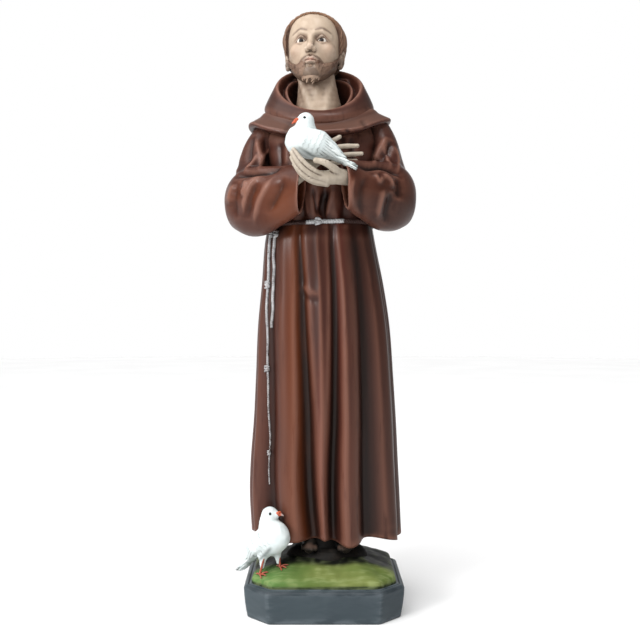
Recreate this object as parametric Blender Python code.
"""Painted cast-resin statue of a friar in a hooded habit, holding a dove, with a second dove at his feet.

The frame has its origin under the middle of the plinth, +Z up, and the figure faces -Y.
"""

import math

import bmesh
import bpy
import numpy as np
from mathutils import Matrix, Vector

# Plinth, in metres.
PLINTH_WIDTH = 0.079
PLINTH_DEPTH = 0.070
PLINTH_HEIGHT = 0.0162
CORNER_CUT = 0.012
PLINTH_TAPER = 0.0018
EDGE_ROUNDING = 0.0018
TURF_MARGIN = 0.0042
TURF_EDGE_HEIGHT = 0.0036
TURF_RISE = 0.0082

# Figure, from the turf under its soles to the crown of its head.
FIGURE_HEIGHT = 0.277

# Doves, from beak or chest to the tip of the tail, and the legs of the standing one.
HELD_DOVE_LENGTH = 0.0318
STANDING_DOVE_LENGTH = 0.0330
DOVE_LEG_HEIGHT = 0.0076
DOVE_LEG_RADIUS = 0.0009
STANDING_DOVE_PLACE = (-0.0262, -0.0200)
# Turn of its breast from the figure's front towards the figure's left, in degrees.
STANDING_DOVE_HEADING = 52.0

# Gap that is left where one casting sits on or in another.
JOINT_GAP = 0.0003
# Points nearer than this are one point after two bodies are joined.
WELD = 0.000002
# Edges shorter than this are closed up before a body is thinned out.
SLIVER = 0.00001

# The figure is drawn in parts, 277 to its height, so that one part is a millimetre at the real size.
PART = FIGURE_HEIGHT / 277
# The doves are drawn in parts too, 34 to their length.
DOVE_PARTS = 34

GROUND = PLINTH_HEIGHT + TURF_EDGE_HEIGHT + TURF_RISE


def clear_scene():
    for old in list(bpy.data.objects):
        bpy.data.objects.remove(old, do_unlink=True)


def paint(name, colour, roughness, metallic=0.0):
    material = bpy.data.materials.new(name)
    material.use_nodes = True
    shader = material.node_tree.nodes["Principled BSDF"]
    shader.inputs["Base Color"].default_value = (*colour, 1.0)
    shader.inputs["Roughness"].default_value = roughness
    shader.inputs["Metallic"].default_value = metallic
    return material


def curve_through(levels, values, at):
    """Smooth values at the given places, on a cubic through the table's points."""
    levels = np.asarray(levels, float)
    values = np.asarray(values, float)
    at = np.clip(np.asarray(at, float), levels[0], levels[-1])
    steps = np.diff(values, axis=0) / np.diff(levels).reshape(-1, *[1] * (values.ndim - 1))
    slopes = np.concatenate([steps[:1], (steps[1:] + steps[:-1]) / 2, steps[-1:]])
    index = np.clip(np.searchsorted(levels, at, side="right") - 1, 0, len(levels) - 2)
    span = levels[index + 1] - levels[index]
    t = (at - levels[index]) / span
    if values.ndim > 1:
        t, span = t[..., None], span[..., None]
    return (
        (1 + 2 * t) * (1 - t) ** 2 * values[index]
        + t * (1 - t) ** 2 * span * slopes[index]
        + t**2 * (3 - 2 * t) * values[index + 1]
        + t**2 * (t - 1) * span * slopes[index + 1]
    )


def solid_from_rings(name, rings):
    """One closed body: each ring is joined to the next, and both ends are closed with a fan."""
    bm = bmesh.new()
    loops = [[bm.verts.new(Vector(point)) for point in ring] for ring in rings]
    count = len(loops[0])
    for lower, upper in zip(loops, loops[1:]):
        for i in range(count):
            j = (i + 1) % count
            bm.faces.new((lower[i], lower[j], upper[j], upper[i]))
    for loop in (loops[0], loops[-1]):
        middle = bm.verts.new(sum((v.co for v in loop), Vector()) / count)
        for i in range(count):
            bm.faces.new((loop[i], loop[(i + 1) % count], middle))
    bmesh.ops.recalc_face_normals(bm, faces=bm.faces)
    mesh = bpy.data.meshes.new(name)
    bm.to_mesh(mesh)
    bm.free()
    made = bpy.data.objects.new(name, mesh)
    bpy.context.scene.collection.objects.link(made)
    return made


def evaluated_mesh(thing):
    graph = bpy.context.evaluated_depsgraph_get()
    return bpy.data.meshes.new_from_object(thing.evaluated_get(graph))


def close_up(mesh, distance):
    """Merges points that are nearer than distance, and drops the folds that this leaves."""
    bm = bmesh.new()
    bm.from_mesh(mesh)
    bmesh.ops.remove_doubles(bm, verts=bm.verts, dist=distance)
    bmesh.ops.dissolve_degenerate(bm, edges=bm.edges, dist=distance)
    bmesh.ops.triangulate(bm, faces=bm.faces)
    alike = {}
    for face in bm.faces:
        alike.setdefault(frozenset(vertex.index for vertex in face.verts), []).append(face)
    folded = [face for faces in alike.values() if len(faces) > 1 for face in faces]
    bmesh.ops.delete(bm, geom=folded, context="FACES")
    bm.to_mesh(mesh)
    bm.free()


def combine(first, others, operation="UNION"):
    """Joins first with all the others, or cuts them from it, in one step, and deletes them."""
    group = bpy.data.collections.new("operands")
    for other in others:
        group.objects.link(other)
    step = first.modifiers.new("Combine", "BOOLEAN")
    step.operation = operation
    step.solver = "EXACT"
    step.operand_type = "COLLECTION"
    step.collection = group
    mesh = evaluated_mesh(first)
    first.modifiers.clear()
    close_up(mesh, WELD)
    first.data = mesh
    for other in others:
        bpy.data.objects.remove(other, do_unlink=True)
    bpy.data.collections.remove(group)
    return first


def thin_out(made, share):
    """Keeps that share of the triangles, where the surface needs them most."""
    close_up(made.data, SLIVER)
    step = made.modifiers.new("Thin out", "DECIMATE")
    step.decimate_type = "COLLAPSE"
    step.ratio = share
    mesh = evaluated_mesh(made)
    made.modifiers.clear()
    made.data = mesh
    return made


def finish(made, name, material, crease=38.0):
    made.name = name
    made.data.name = name
    made.data.materials.clear()
    made.data.materials.append(material)
    made.data.polygons.foreach_set("material_index", [0] * len(made.data.polygons))
    made.data.shade_smooth()
    made.data.set_sharp_from_angle(angle=math.radians(crease))
    return made


def frame_along(direction, up=(0, 0, 1)):
    """Two unit axes square to a direction, the second as near to up as it can be."""
    forward = np.array(direction, float)
    forward /= np.linalg.norm(forward)
    up = np.array(up, float) - np.dot(up, forward) * forward
    up /= np.linalg.norm(up)
    return np.cross(forward, up), up


def tube(name, points, radii, sides=8, flat=1.0, up=(0.13, 0.21, 1)):
    """A limb along a smooth curve through its points, round-ended; flat squeezes it along up."""
    points, radii = np.array(points, float), np.array(radii, float)
    lengths = np.concatenate([[0], np.cumsum(np.linalg.norm(np.diff(points, axis=0), axis=1))])
    tangents = np.gradient(points, lengths, axis=0)
    rings = []
    for i, (centre, radius) in enumerate(zip(points, radii)):
        side, high = frame_along(tangents[i], up)
        turn = np.arange(sides) * 2 * math.pi / sides
        ring = np.outer(np.cos(turn), side) + flat * np.outer(np.sin(turn), high)
        forward = tangents[i] / np.linalg.norm(tangents[i])
        if i == 0:
            rings.append(centre - forward * radius * 0.75 + ring * radius * 0.55)
        rings.append(centre + ring * radius)
        if i == len(points) - 1:
            rings.append(centre + forward * radius * 0.75 + ring * radius * 0.55)
    return solid_from_rings(name, rings)


def smooth_path(points, count):
    """Evenly numbered points on a cubic through a few chosen ones."""
    points = np.array(points, float)
    lengths = np.concatenate([[0], np.cumsum(np.linalg.norm(np.diff(points, axis=0), axis=1))])
    return curve_through(lengths, points, np.linspace(0, lengths[-1], count))


def ellipsoid(name, centre, radii, rings=8, sides=12, turn=None):
    """A rounded mass; turn is a rotation of its axes."""
    turn = np.eye(3) if turn is None else np.array(turn, float)
    stack = []
    for latitude in np.linspace(-78, 78, rings) * math.pi / 180:
        around = np.arange(sides) * 2 * math.pi / sides
        unit = np.stack(
            [
                np.cos(latitude) * np.cos(around),
                np.cos(latitude) * np.sin(around),
                np.full(sides, np.sin(latitude)),
            ],
            axis=1,
        )
        stack.append(np.array(centre, float) + (unit * radii) @ turn.T)
    return solid_from_rings(name, stack)


def bump(offset, width):
    """A rounded hill of height one, that many widths away from its top."""
    return np.exp(-((np.asarray(offset) / width) ** 2))


def place_part(points, height=GROUND):
    """Drawing parts above the soles, as metres in the statue's frame."""
    return np.array(points, float) * PART + np.array([0, 0, height])


# Plinth.


def plinth_outline(inset, height, rounding):
    """The chamfered rectangle, set in by inset, with its corners eased by rounding."""
    half_width = PLINTH_WIDTH / 2 - inset
    half_depth = PLINTH_DEPTH / 2 - inset
    cut = CORNER_CUT - inset * (2 - math.sqrt(2))
    corners = []
    for sx, sy in ((1, -1), (1, 1), (-1, 1), (-1, -1)):
        along_x = (sx * (half_width - cut), sy * half_depth)
        along_y = (sx * half_width, sy * (half_depth - cut))
        corners += [along_x, along_y] if sx * sy < 0 else [along_y, along_x]
    corners = np.array(corners)
    ring = []
    for i, corner in enumerate(corners):
        before = corners[i - 1] - corner
        after = corners[(i + 1) % len(corners)] - corner
        start = corner + before / np.linalg.norm(before) * rounding
        end = corner + after / np.linalg.norm(after) * rounding
        ring += [start, end]
    return [(x, y, height) for x, y in ring]


def turf_height(x, y):
    """Height of the turf at a point, by how far it lies from the middle to the turf's edge."""
    half_width = PLINTH_WIDTH / 2 - TURF_MARGIN
    half_depth = PLINTH_DEPTH / 2 - TURF_MARGIN
    cut = CORNER_CUT - TURF_MARGIN * (2 - math.sqrt(2))
    share = max(
        abs(x) / half_width,
        abs(y) / half_depth,
        (abs(x) + abs(y)) / (half_width + half_depth - cut),
    )
    return PLINTH_HEIGHT + TURF_EDGE_HEIGHT + TURF_RISE * (1 - min(share, 1.0) ** 2)


def make_plinth(name="plinth", lift=0.0):
    """The block and the turf on it, one casting. A lifted copy cuts what stands on it."""
    soft = EDGE_ROUNDING / 2
    block = [
        (PLINTH_TAPER, 0.0),
        (PLINTH_TAPER * 0.35, PLINTH_HEIGHT * 0.24),
        (0.0, PLINTH_HEIGHT * 0.60),
        (0.0, PLINTH_HEIGHT - EDGE_ROUNDING),
        (EDGE_ROUNDING * 0.35, PLINTH_HEIGHT - EDGE_ROUNDING * 0.3),
        (EDGE_ROUNDING, PLINTH_HEIGHT),
        (TURF_MARGIN * 0.86, PLINTH_HEIGHT),
        (TURF_MARGIN, PLINTH_HEIGHT + TURF_EDGE_HEIGHT * 0.75),
    ]
    rings = [plinth_outline(inset, height + lift, soft) for inset, height in block]
    edge = np.array(plinth_outline(TURF_MARGIN, 0.0, 3 * soft))
    for share in (0.97, 0.82, 0.62, 0.40, 0.18):
        ring = edge * share
        drop = 0.15 * TURF_EDGE_HEIGHT if share > 0.95 else 0.0
        top = PLINTH_HEIGHT + TURF_EDGE_HEIGHT + TURF_RISE * (1 - share**2)
        ring[:, 2] = top + lift - drop
        rings.append(ring)
    return solid_from_rings(name, rings)


# Habit. Columns: height, middle x, middle y, half width, half depth, in drawing parts.

HABIT_SECTIONS = np.array(
    [
        (8.5, 1.4, 2.0, 38.0, 20.6),
        (28, 0.4, 2.0, 38.2, 21.0),
        (45, 0.2, 1.8, 37.6, 20.8),
        (67, 0.5, 1.5, 36.4, 20.4),
        (88, 0.3, 1.2, 35.4, 20.0),
        (115, -0.2, 1.0, 34.0, 19.6),
        (137, -0.8, 0.8, 31.4, 19.0),
        (158, -2.0, 0.5, 28.6, 18.4),
        (167, -2.0, 0.5, 27.2, 17.4),
        (178, -2.0, 0.3, 27.4, 19.6),
        (192, -1.6, 0.0, 27.6, 21.8),
        (204, -1.4, 0.5, 29.4, 21.4),
        (213, -1.4, 1.5, 30.6, 18.6),
        (220, -1.4, 2.0, 28.0, 15.0),
        (225, -1.8, 2.0, 21.0, 13.0),
        (229, -2.4, 1.6, 13.0, 11.0),
    ]
)
HEM_HEIGHT = 8.5
BELT_HEIGHT = 167

# Skirt folds: angle at the hem and at the belt (0 is the front, + to the figure's left), width, depth.
SKIRT_FOLDS = [
    (-24, -41, 9, 2.6),
    (-11.5, -24, 6.5, -5.2),
    (-1.5, -3, 7, 2.0),
    (6.5, 13, 4.5, -3.8),
    (18, 22, 9, 3.4),
    (38, 39, 10, -3.6),
    (60, 58, 12, 2.4),
    (-46, -55, 7, -3.0),
    (-63, -68, 9, 2.4),
    (-84, -86, 8, -2.2),
    (84, 84, 8, -2.4),
    (104, 102, 11, 2.2),
    (124, 122, 8, -3.4),
    (143, 143, 11, 2.4),
    (161, 163, 8, -3.0),
    (180, 180, 10, 2.4),
    (-160, -161, 8, -3.0),
    (-141, -143, 11, 2.4),
    (-122, -121, 8, -3.2),
    (-103, -104, 11, 2.0),
]
# Chest folds: angle at the belt and at the shoulder, width, depth.
CHEST_FOLDS = [
    (-17, -28, 6, -2.4),
    (-6, -12, 6, 1.6),
    (5, 4, 5, -3.0),
    (14, 16, 6, 1.6),
    (26, 34, 6, -2.0),
    (150, 140, 9, -2.0),
    (180, 178, 12, 1.4),
    (-150, -140, 9, -2.0),
]


def folds(angle, height):
    """How far the cloth stands out from its plain section, in drawing parts."""
    total = np.zeros_like(angle)
    rise = (height - HEM_HEIGHT) / (BELT_HEIGHT - HEM_HEIGHT)
    if rise <= 1:
        strength = 0.34 + 0.66 * (1 - rise) ** 0.8
        for at_hem, at_belt, width, depth in SKIRT_FOLDS:
            middle = at_hem + (at_belt - at_hem) * rise
            away = (angle - middle + 180) % 360 - 180
            total += depth * strength * bump(away, width)
    else:
        climb = (height - BELT_HEIGHT) / 50
        strength = np.clip(1.2 - climb, 0, 1)
        for at_belt, at_top, width, depth in CHEST_FOLDS:
            middle = at_belt + (at_top - at_belt) * climb
            away = (angle - middle + 180) % 360 - 180
            total += depth * strength * bump(away, width)
    return total


def habit_point(angle, height, lift=0.0):
    """A point on the habit's surface, in drawing parts, standing lift off it."""
    angle = np.asarray(angle, float)
    _, middle_x, middle_y, half_width, half_depth = curve_through(
        HABIT_SECTIONS[:, 0], HABIT_SECTIONS, height
    )
    turn = np.radians(angle)
    out = folds(angle, height) + lift
    x = middle_x + (half_width + out) * np.sin(turn)
    y = middle_y - (half_depth + out) * np.cos(turn)
    return np.stack([x, y, np.full_like(x, height)], axis=-1)


def fold_angles():
    """Angles round the habit, closest together over its front."""
    spans = ((-62, 62, 27), (62, 112, 7), (112, 248, 15), (248, 298, 7))
    return np.concatenate([np.linspace(start, end, count, endpoint=False) for start, end, count in spans])


HABIT_LEVELS = [8.5, 12, 32, 56, 80, 104, 128, 147, 160, 167, 173, 181, 192, 204, 213, 221, 229]


def make_habit():
    """Skirt, waist and chest as one body, with a shallow recess under the hem."""
    angles = fold_angles()
    rings = [place_part(habit_point(angles, level)) for level in HABIT_LEVELS]
    recess = place_part(habit_point(angles, HEM_HEIGHT, -3.0))
    recess[:, 2] += 1.6 * PART
    return solid_from_rings("habit", [recess, *rings])


def make_skirt_clearance():
    """The lower skirt, grown by the gap that the standing dove keeps to it."""
    angles = fold_angles()
    rings = []
    for level in HABIT_LEVELS[:5]:
        rings.append(place_part(habit_point(angles, level, 1.2 * JOINT_GAP / PART)))
    rings[0][:, 2] -= JOINT_GAP
    return solid_from_rings("skirt_clearance", rings)


# The slab under the feet: height, half width, half depth.
FOOTING_SECTIONS = ((-9, 21.5, 18.6), (2.4, 20.5, 17.4), (3.4, 19.6, 16.4), (3.6, 14, 10), (14, 16, 12))


def make_footing():
    """The dark mass under the hem: a low slab that the feet stand on, narrowing up into the habit."""
    rings = []
    for height, half_width, half_depth in FOOTING_SECTIONS:
        turn = np.radians(np.arange(0, 360, 20))
        x = 1 + half_width * np.sin(turn)
        y = 1 - half_depth * np.cos(turn)
        rings.append(place_part(np.stack([x, y, np.full_like(turn, height)], 1)))
    return solid_from_rings("footing", rings)


# A foot: distance from the heel, half width and height of its top.
FOOT_SECTIONS = ((0, 3.4, 8.0), (7, 3.8, 7.0), (13, 4.2, 5.6), (15.6, 4.0, 5.1), (17.2, 3.0, 4.5))


def make_foot(middle_x, turned):
    """A foot that comes out from under the hem to the slab's edge."""
    forward = np.array([math.sin(math.radians(turned)), -math.cos(math.radians(turned))])
    aside = np.array([forward[1], -forward[0]])
    rings = []
    for along, half_width, top in FOOT_SECTIONS:
        middle = np.array([middle_x, -0.5]) + forward * along
        ring = []
        for turn in np.radians(np.arange(0, 360, 45)):
            across = aside * half_width * math.cos(turn)
            ring.append((*(middle + across), (top + 1.0) / 2 + (top - 1.0) / 2 * math.sin(turn)))
        rings.append(place_part(ring))
    return solid_from_rings("foot", rings)


# Sleeves. Each is drawn for the figure's right arm, at -x, and mirrored for the left.

UPPER_SLEEVE = [
    # height, middle x, middle y, half width, half depth
    (220, -26.0, 2.0, 7.5, 8.5),
    (215, -28.8, 1.8, 8.4, 10.4),
    (207, -32.0, 1.2, 9.2, 11.6),
    (197, -34.2, 0.2, 9.8, 12.0),
    (187, -36.4, -1.8, 10.8, 12.6),
    (177, -37.4, -3.6, 11.0, 12.4),
    (168, -37.6, -5.0, 8.0, 9.0),
]
FORE_SLEEVE = [
    # middle x, y, height, reach up, reach down, half thickness
    (-46.6, -1.0, 180.5, 5.0, 7.0, 4.0),
    (-44.6, -2.8, 180.0, 11.0, 14.0, 8.6),
    (-40.4, -7.0, 179.2, 14.8, 16.8, 11.6),
    (-35.0, -12.4, 178.6, 15.8, 18.4, 12.4),
    (-28.0, -19.0, 179.0, 15.0, 18.6, 11.4),
    (-20.5, -25.6, 180.2, 12.8, 16.6, 9.8),
    (-14.5, -30.8, 181.6, 11.2, 13.4, 8.8),
    (-10.0, -34.4, 182.4, 10.2, 9.6, 8.4),
]
SLEEVE_WALL = 1.6
CUFF_DEPTH = 9.0


def fore_sleeve_ring(section, shrink, sides):
    """An upright section square to the forearm, longer below than above."""
    x, y, height, up, down, thick = section
    along = np.array([0.75, -0.66, 0.0])
    across = np.array([0.66, 0.75, 0.0])
    turn = np.arange(sides) * 2 * math.pi / sides
    tall = np.where(np.sin(turn) > 0, up - shrink, down - shrink)
    ring = np.array([x, y, height]) + np.outer(np.cos(turn) * (thick - shrink), across)
    ring[:, 2] += np.sin(turn) * tall
    lean = (ring[:, 2] - height) * 0.10
    return ring + np.outer(lean, along)


def make_sleeve(side, reach, lift):
    """Upper arm and hanging forearm sleeve of one arm, hollowed at the cuff. side is -1 or +1."""
    mirror = np.array([-side * reach, 1, 1])

    def mirrored(ring):
        ring = np.array(ring, float)
        return place_part((ring + np.array([0, 0, lift])) * mirror)

    turn = np.radians(np.arange(0, 360, 30))
    rings = []
    for height, middle_x, middle_y, half_width, half_depth in UPPER_SLEEVE:
        x = middle_x + half_width * np.sin(turn)
        y = middle_y - half_depth * np.cos(turn)
        rings.append(mirrored(np.stack([x, y, np.full_like(turn, height)], 1)))
    upper = solid_from_rings("upper_sleeve", rings)
    sides = 16
    fore = solid_from_rings("fore_sleeve", [mirrored(fore_sleeve_ring(s, 0, sides)) for s in FORE_SLEEVE])
    mouth = np.array(FORE_SLEEVE[-1], float)
    outward = np.array([0.75, -0.66, 0, 0, 0, 0])
    hollow = [mouth + outward * step for step in (3.0, 0.0, -CUFF_DEPTH * 0.5, -CUFF_DEPTH)]
    shrinks = [SLEEVE_WALL, SLEEVE_WALL, SLEEVE_WALL + 0.4, SLEEVE_WALL + 2.2]
    inner = [mirrored(fore_sleeve_ring(s, shrink, sides)) for s, shrink in zip(hollow, shrinks)]
    cutter = solid_from_rings("cuff_hollow", inner)
    combine(fore, [cutter], "DIFFERENCE")
    return combine(upper, [fore])


# Hood and shoulder cape: rings that are lower in front than behind.


def collar_ring(half_width, half_depth, front, side, back, middle_y=1.0, sides=28):
    """A ring round the neck whose height runs from front over side to back."""
    turn = np.arange(sides) * 2 * math.pi / sides
    ahead = np.cos(turn)
    height = side + (front - back) / 2 * ahead + ((front + back) / 2 - side) * ahead**2
    across = -2.4 + half_width * np.sin(turn)
    return place_part(np.stack([across, middle_y - half_depth * ahead, height], 1))

def make_cape():
    """The flared cape over the shoulders, with a thick hem that stands off the chest."""
    rings = [
        collar_ring(18, 12, 214, 218, 216),
        collar_ring(32.5, 21, 207.4, 217, 205.0),
        collar_ring(35.2, 25.6, 209.6, 219.4, 205.6),
        collar_ring(36.2, 26.6, 211.0, 221.0, 206.8),
        collar_ring(35.4, 26.0, 213.0, 222.8, 209.4),
        collar_ring(30.6, 23.0, 217.0, 226.2, 217.0),
        collar_ring(22.0, 17.0, 222.0, 230.0, 227.0),
    ]
    return solid_from_rings("cape", rings)


def make_hood():
    """The lowered hood: a thick roll, high behind and low in front, with a fold inside."""
    rings = [
        collar_ring(20.0, 15.0, 219.0, 227.0, 226.0),
        collar_ring(26.8, 20.6, 216.2, 225.6, 224.0),
        collar_ring(28.2, 22.4, 218.0, 228.0, 229.0, 1.4),
        collar_ring(27.0, 22.2, 220.4, 231.8, 238.0, 1.4),
        collar_ring(24.4, 20.8, 221.8, 236.2, 247.0, 1.2),
        collar_ring(22.2, 19.0, 222.6, 239.2, 253.0, 0.6),
        collar_ring(20.4, 17.2, 221.6, 238.4, 252.4, 0.4),
        collar_ring(18.8, 15.4, 219.6, 233.2, 246.0, 0.2),
        collar_ring(17.6, 14.2, 220.0, 233.0, 244.0, 0.2),
        collar_ring(15.4, 12.2, 218.6, 229.0, 236.0, 0.2),
        collar_ring(10.6, 9.0, 218.4, 226.0, 229.0, 0.4),
    ]
    return solid_from_rings("hood", rings)


# The hood's fullness behind: height, half width, half depth, middle y.
HOOD_BAG_SECTIONS = (
    (246, 13.0, 6.0, 10.0),
    (238, 19.0, 8.5, 12.0),
    (227, 20.5, 10.0, 14.5),
    (213, 17.5, 10.0, 15.5),
    (201, 12.0, 8.0, 16.5),
    (193, 6.0, 5.0, 17.5),
)


def make_hood_bag():
    """The hood's fullness, hanging to a blunt point between the shoulder blades."""
    turn = np.radians(np.arange(0, 360, 30))
    rings = []
    for height, half_width, half_depth, back in HOOD_BAG_SECTIONS:
        x = -2 + half_width * np.sin(turn)
        y = back - half_depth * np.cos(turn)
        rings.append(place_part(np.stack([x, y, np.full_like(turn, height)], 1)))
    return solid_from_rings("hood_bag", rings)


# Head, in its own axes: x to the figure's left, y forward, z up, from between the ears.

HEAD_PLACE = (-4.9, 1.8, 257.4)
HEAD_TILT = 15.0
HEAD_TURN = -6.0


def head_matrix():
    """From the head's own axes to drawing parts: tilted back and turned a little to its right."""
    facing = Matrix.Rotation(math.radians(180), 3, "Z")
    tilted = Matrix.Rotation(math.radians(-HEAD_TILT), 3, "X")
    turned = Matrix.Rotation(math.radians(HEAD_TURN), 3, "Z")
    return np.array(turned @ tilted @ facing)


def to_head(points):
    return place_part(np.array(points, float) @ head_matrix().T + np.array(HEAD_PLACE))


HEAD_LEVELS = [
    # z, half width, reach forward, reach back
    (-21.4, 2.6, 10.4, -6.0),
    (-20.2, 5.4, 12.8, -4.0),
    (-18.0, 8.0, 14.0, 0.0),
    (-15.0, 10.0, 14.6, 4.0),
    (-12.0, 11.4, 14.9, 9.0),
    (-8.0, 12.6, 15.2, 13.0),
    (-4.0, 13.4, 15.4, 15.6),
    (0.0, 14.0, 16.2, 17.2),
    (4.0, 14.4, 16.6, 17.8),
    (8.0, 14.0, 16.0, 17.6),
    (12.0, 12.6, 14.0, 16.0),
    (15.5, 9.8, 10.6, 13.0),
    (18.0, 6.0, 6.2, 8.4),
    (19.0, 2.6, 2.4, 3.6),
]


def head_section(level):
    """Half width, reach forward and reach back of the head at a height."""
    table = np.array(HEAD_LEVELS)
    return curve_through(table[:, 0], table[:, 1:], level).T


def head_ring(level, angles):
    """The skull and face at one height, with brow, sockets, nose, cheeks, lips and short beard."""
    half_width, forward, back = head_section(level)
    turn = np.radians(angles)
    ahead = np.cos(turn)
    aside = np.abs(angles)
    x = half_width * np.sign(np.sin(turn)) * np.abs(np.sin(turn)) ** 0.92
    y = (forward - back) / 2 + (forward + back) / 2 * ahead
    relief = 4.6 * bump(angles, 8.5) * bump(level + 9.2, 2.4)
    relief += 2.2 * bump(angles, 8) * bump(level + 5.0, 4.0)
    relief += 0.9 * bump(aside - 20, 16) * bump(level - 1.2, 1.8)
    relief += -1.9 * bump(aside - 24, 11) * bump(level + 2.4, 2.2)
    relief += 0.9 * bump(angles, 13) * bump(level + 14.4, 1.0)
    beard = np.clip((92 - aside) / 24, 0, 1) * np.clip((-11.0 - level - 3.0 * bump(angles, 26)) / 3.0, 0, 1)
    beard *= 1 - 0.75 * bump(angles, 15) * bump(level + 14.6, 1.4)
    beard *= np.clip((level + 22.4) / 2.4, 0, 1)
    moustache = 1.2 * bump(aside - 12, 13) * bump(level + 11.8 + 0.05 * aside, 1.2)
    out = 1.5 * beard + moustache
    x = x + out * np.sin(turn)
    y = y + relief + out * np.maximum(ahead, 0)
    return np.stack([x, y, np.full_like(x, level)], 1)


def make_head():
    angles = np.concatenate([np.linspace(-72, 72, 17), np.linspace(90, 270, 9)])
    chin_to_nose = [-21.4, -20.6, -19, -17, -15.4, -14.2, -12.8, -11.4, -9.6]
    nose_to_crown = [-7, -4.8, -2.4, 0, 2, 6, 10.5, 14.5, 17.4, 18.8]
    rings = []
    for level in chin_to_nose + nose_to_crown:
        rings.append(to_head(head_ring(level, angles)))
    return solid_from_rings("head", rings)


def make_neck():
    points = smooth_path([(-2.4, 2.0, 214), (-2.8, 1.6, 228), (-4.2, 3.4, 247)], 3)
    return tube("neck", place_part(points), np.array([11.5, 10.0, 9.2]) * PART, sides=12)


def make_hair():
    """The fringe of hair round a shaven crown, full over the ears and down the nape."""
    angles = np.arange(0, 360, 12.0)
    away = np.minimum(angles, 360 - angles)
    behind = np.clip((away - 58) / 40, 0, 1)
    low = 9.6 - 12.0 * behind - 7.5 * np.clip((away - 105) / 60, 0, 1)
    high = 14.6 + 0.8 * np.cos(np.radians(away))
    turn = np.radians(angles)
    rings = []
    for climb, out in ((0.0, -1.6), (0.10, 1.5), (0.4, 2.3), (0.8, 2.2), (1.0, -1.4)):
        level = low + (high - low) * climb
        half_width, forward, back = head_section(level)
        thick = out * (0.5 + 0.5 * behind)
        x = (half_width + thick) * np.sin(turn)
        y = (forward - back) / 2 + ((forward + back) / 2 + thick) * np.cos(turn)
        rings.append(to_head(np.stack([x, y, level], 1)))
    return solid_from_rings("hair", rings)


def make_ears():
    ears = []
    for side in (-1, 1):
        points = [(side * 12.6, -0.4, -8.4), (side * 13.4, -1.0, -4.5), (side * 13.6, -1.6, -0.8)]
        radii = np.array([1.4, 2.4, 1.8]) * PART
        ears.append(tube("ear", to_head(points), radii, sides=6))
    return ears


# Hands. Paths in drawing parts, from knuckle or wrist to tip.

LEFT_FINGERS = [
    [(0.9, -44.6, 188.6), (-8.4, -47.6, 191.4), (-15.8, -44.8, 197.2)],
    [(1.9, -45.0, 186.3), (-8.4, -48.0, 188.6), (-15.0, -45.0, 193.8)],
    [(2.8, -44.8, 184.0), (-7.0, -47.6, 185.8), (-12.8, -44.6, 189.8)],
    [(3.3, -44.0, 182.2), (-5.1, -46.4, 183.2), (-9.6, -43.6, 186.0)],
]
LEFT_THUMB = [(6.0, -41.6, 188.4), (1.0, -45.2, 190.6), (-4.6, -46.4, 193.2)]
RIGHT_FINGERS = [
    [(-3.0, -26.6, 201.0), (3.0, -27.4, 204.0), (8.6, -27.4, 208.4)],
    [(-2.0, -26.8, 199.6), (8.0, -27.6, 202.6), (17.4, -26.6, 203.4)],
    [(-2.0, -26.8, 196.8), (8.0, -27.6, 198.8), (18.8, -26.6, 199.2)],
    [(-2.0, -26.6, 194.2), (7.0, -27.2, 195.0), (16.6, -26.4, 195.2)],
]
FINGER_THICKNESS = (1.06, 1.0, 0.92, 0.78)


def finger(path, thickness=1.9):
    radii = np.array(FINGER_THICKNESS) * thickness
    return tube("finger", place_part(smooth_path(path, 4)), radii * PART, sides=6)


def palm(name, path, radii):
    return tube(name, place_part(smooth_path(path, len(radii))), np.array(radii) * PART, sides=10)


def make_hands():
    """The left hand cups the dove from below and in front; the right lies on the breast behind it."""
    left_path = [(15, -31.5, 183.0), (9.0, -38.0, 183.8), (4.0, -42.5, 185.2), (-1.5, -44.0, 187.0)]
    right_path = [(-17, -30.0, 184.5), (-11, -29.0, 190), (-5, -27.6, 196), (-1, -27.0, 199)]
    hands = [palm("left_palm", left_path, [4.0, 4.6, 5.0, 4.6, 3.6])]
    hands += [finger(path) for path in LEFT_FINGERS] + [finger(LEFT_THUMB, 2.2)]
    hands += [palm("right_palm", right_path, [4.4, 4.6, 4.8, 4.2, 3.2])]
    return hands + [finger(path) for path in RIGHT_FINGERS]


# Cord, lying on the habit.


CORD_RADIUS = 1.2
# The two hanging ends: angle and height at the top, angle and height at the bottom, and thickness.
LONG_STRAND = (-63, 167, -50, 35, 1.0)
SHORT_STRAND = (-54, 167, -50, 114, 1.15)


def strand_point(strand, share, lift=0.3):
    start, top, end, bottom, _ = strand
    return habit_point(np.array(start + (end - start) * share), top + (bottom - top) * share, lift)


def make_strand(strand, count):
    points = [strand_point(strand, share) for share in np.linspace(0, 1, count)]
    return tube("strand", place_part(points), np.full(count, strand[4]) * PART, sides=6)


def make_girdle():
    """A closed ring of cord that follows the habit's waist."""
    angles = fold_angles()
    loops = []
    bm = bmesh.new()
    for around in np.radians((90, 0, -90, 180)):
        ring = habit_point(angles, BELT_HEIGHT, 0.35 + CORD_RADIUS * math.cos(around))
        ring[:, 2] += CORD_RADIUS * math.sin(around)
        loops.append([bm.verts.new(Vector(point)) for point in place_part(ring)])
    for number, lower in enumerate(loops):
        upper = loops[(number + 1) % len(loops)]
        for i in range(len(angles)):
            j = (i + 1) % len(angles)
            bm.faces.new((lower[i], lower[j], upper[j], upper[i]))
    bmesh.ops.recalc_face_normals(bm, faces=bm.faces)
    mesh = bpy.data.meshes.new("girdle")
    bm.to_mesh(mesh)
    bm.free()
    girdle = bpy.data.objects.new("girdle", mesh)
    bpy.context.scene.collection.objects.link(girdle)
    return girdle


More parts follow.
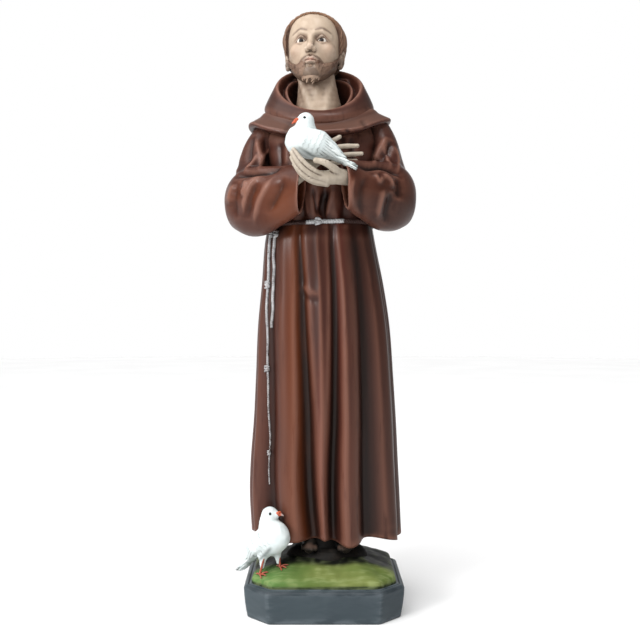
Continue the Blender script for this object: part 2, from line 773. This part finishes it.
def make_cord():
    """The girdle round the waist, and its two ends hanging at the figure's right, one with three knots."""
    made = [make_girdle(), make_strand(LONG_STRAND, 13), make_strand(SHORT_STRAND, 6)]
    for share in KNOT_SHARES:
        middle = place_part(strand_point(LONG_STRAND, share, 1.0))
        made.append(ellipsoid("knot", middle, np.array([2.1, 2.1, 2.8]) * PART, rings=4, sides=7))
    return made


KNOT_SHARES = (0.24, 0.56, 0.88)


# Doves, drawn in parts of their length: x forward, z up.


# Sections of a dove's breast and belly: x, height, half width, half depth.
DOVE_BREAST = (
    (-9.5, 3.6, 3.2, 2.2),
    (-5.0, 6.0, 5.8, 5.0),
    (0.0, 8.8, 7.4, 6.9),
    (4.5, 10.9, 8.0, 7.8),
    (8.6, 12.4, 6.6, 6.8),
    (11.2, 13.2, 3.8, 4.2),
)
DOVE_TAIL = ((-6, 5.0, 3.6, 2.4), (-12, 1.4, 3.6, 1.7), (-18, -1.6, 3.8, 1.2), (-22.5, -3.6, 4.0, 0.9))
DOVE_WING = [(4.0, 5.4, 12.6), (-2.0, 5.6, 10.2), (-9.0, 4.0, 5.8), (-16.5, 1.8, 0.8)]
DOVE_WING_THICKNESS = (2.2, 3.2, 3.3, 2.6, 1.6, 0.7)


def dove_body(part, pitch, neck_rise, gaze):
    """Breast, wings, tail, neck and head, in the dove's own axes. gaze turns the beak, in degrees."""
    turn = np.radians(np.arange(0, 360, 36))
    rings = []
    for x, height, half_width, half_depth in DOVE_BREAST:
        z = height + half_depth * np.sin(turn)
        ring = np.stack([x - 0.42 * (z - height), half_width * np.cos(turn), z], 1)
        rings.append(ring * part)
    pieces = [solid_from_rings("breast", rings)]
    head = np.array([2.2, 0.0, 21.0 + neck_rise])
    neck = np.array([(2.6, 0, 12.0), (2.6, 0, 17.2 + 0.5 * neck_rise), head])
    pieces.append(tube("neck", smooth_path(neck, 4) * part, np.array([6.0, 5.3, 4.1, 4.0]) * part, sides=9))
    aim = np.array([math.cos(math.radians(gaze)), math.sin(math.radians(gaze)), -0.15])
    beak = np.array([head + 2.2 * aim, head + 4.8 * aim, head + 6.8 * aim])
    pieces.append(tube("beak", beak * part, np.array([1.9, 1.3, 0.45]) * part, sides=6))
    for side in (-1, 1):
        wing = smooth_path(np.array(DOVE_WING) * (1, side, 1), len(DOVE_WING_THICKNESS))
        pieces.append(tube("wing", wing * part, np.array(DOVE_WING_THICKNESS) * part, sides=7, flat=1.6))
    turn = np.radians(np.arange(0, 360, 60))
    rings = []
    for x, height, half_width, thick in DOVE_TAIL:
        across, along = half_width * np.cos(turn), height + thick * np.sin(turn)
        rings.append(np.stack([np.full_like(turn, x), across, along], 1) * part)
    pieces.append(solid_from_rings("tail", rings))
    for piece in pieces:
        piece.data.transform(Matrix.Rotation(math.radians(pitch), 4, "Y"))
    return pieces


def make_standing_dove():
    """The dove on the turf, turned to the front, its back to the skirt, its tail past the plinth."""
    part = STANDING_DOVE_LENGTH / DOVE_PARTS
    pieces = dove_body(part, -13.0, 1.2, 20.0)
    for piece in pieces:
        piece.data.transform(Matrix.Translation((0, 0, DOVE_LEG_HEIGHT)))
    x, y = STANDING_DOVE_PLACE
    ground = turf_height(x, y)
    heading = Matrix.Rotation(math.radians(STANDING_DOVE_HEADING - 90), 4, "Z")
    place = Matrix.Translation((x, y, ground)) @ heading
    for side, step in ((-1, -3.6), (1, 2.6)):
        hip = np.array([(0.5 + 0.4 * step) * part, side * 3.8 * part, DOVE_LEG_HEIGHT + 4.6 * part])
        foot = np.array([(0.8 + step) * part, side * (4.0 - 0.4 * step) * part, 0.0])
        world = place @ Vector(foot)
        foot[2] = turf_height(world.x, world.y) - ground
        thigh = np.stack([hip, hip + (foot - hip) * 0.30, hip + (foot - hip) * 0.56])
        pieces.append(tube("thigh", thigh, np.array([3.2, 2.5, 1.4]) * part, sides=7))
        shank = np.stack([hip + (foot - hip) * 0.45, foot + (0, 0, 0.7 * part)])
        pieces.append(tube("shank", shank, np.full(2, DOVE_LEG_RADIUS), sides=6, up=(1, 0, 0)))
        for toe in (-38, 0, 38, 180):
            reach = (2.6 if toe == 180 else 4.4) * part
            tip = foot + reach * np.array([math.cos(math.radians(toe)), math.sin(math.radians(toe)), 0])
            path = np.stack([foot + (0, 0, 0.6 * part), tip + (0, 0, 0.25 * part)])
            pieces.append(tube("toe", path, np.array([0.95, 0.6]) * DOVE_LEG_RADIUS, sides=5))
    dove = thin_out(combine(pieces[0], pieces[1:]), 0.72)
    dove.data.transform(place)
    return combine(dove, [make_plinth("perch", JOINT_GAP), make_skirt_clearance()], "DIFFERENCE")


HELD_DOVE_PLACE = (-5.6, -39.5, 192.4)


def make_held_dove(swell=0.0):
    """The dove in the hands, its breast to the figure's right and its tail to the left.

    With a swell, the bodies it is made of, each grown by that much, to cut its seat in the hands.
    """
    part = HELD_DOVE_LENGTH / DOVE_PARTS
    place = Matrix.Translation(Vector(place_part(HELD_DOVE_PLACE)))
    place = place @ Matrix.Rotation(math.radians(184), 4, "Z")
    pieces = dove_body(part, 3.0, 0.0, 14.0)
    for piece in pieces:
        normals = [vertex.normal.copy() for vertex in piece.data.vertices]
        for vertex, normal in zip(piece.data.vertices, normals):
            vertex.co += normal * swell
        piece.data.transform(place)
    return pieces if swell else [thin_out(combine(pieces[0], pieces[1:]), 0.85)]


def main():
    clear_scene()
    habit_paint = paint("habit_paint", (0.150, 0.050, 0.032), 0.45)
    stone_paint = paint("plinth_paint", (0.075, 0.088, 0.100), 0.40)
    dove_paint = paint("dove_paint", (0.78, 0.80, 0.78), 0.50)

    plinth = make_plinth()
    (held_dove,) = make_held_dove()
    figure = make_habit()
    bodies = [
        make_footing(),
        make_foot(-6.5, -4.0),
        make_foot(9.5, 6.0),
        make_sleeve(-1, 1.0, 0.0),
        make_sleeve(1, 0.93, 2.4),
        make_cape(),
        make_hood_bag(),
        make_hood(),
        make_neck(),
        make_head(),
        make_hair(),
        *make_ears(),
        *make_hands(),
        *make_cord(),
    ]
    thin_out(combine(figure, bodies), 0.74)
    cutters = [make_plinth("seat", JOINT_GAP), *make_held_dove(JOINT_GAP * 1.25)]
    combine(figure, cutters, "DIFFERENCE")
    standing_dove = make_standing_dove()

    finish(plinth, "plinth", stone_paint)
    finish(figure, "friar", habit_paint)
    finish(held_dove, "held_dove", dove_paint)
    finish(standing_dove, "standing_dove", dove_paint)


main()
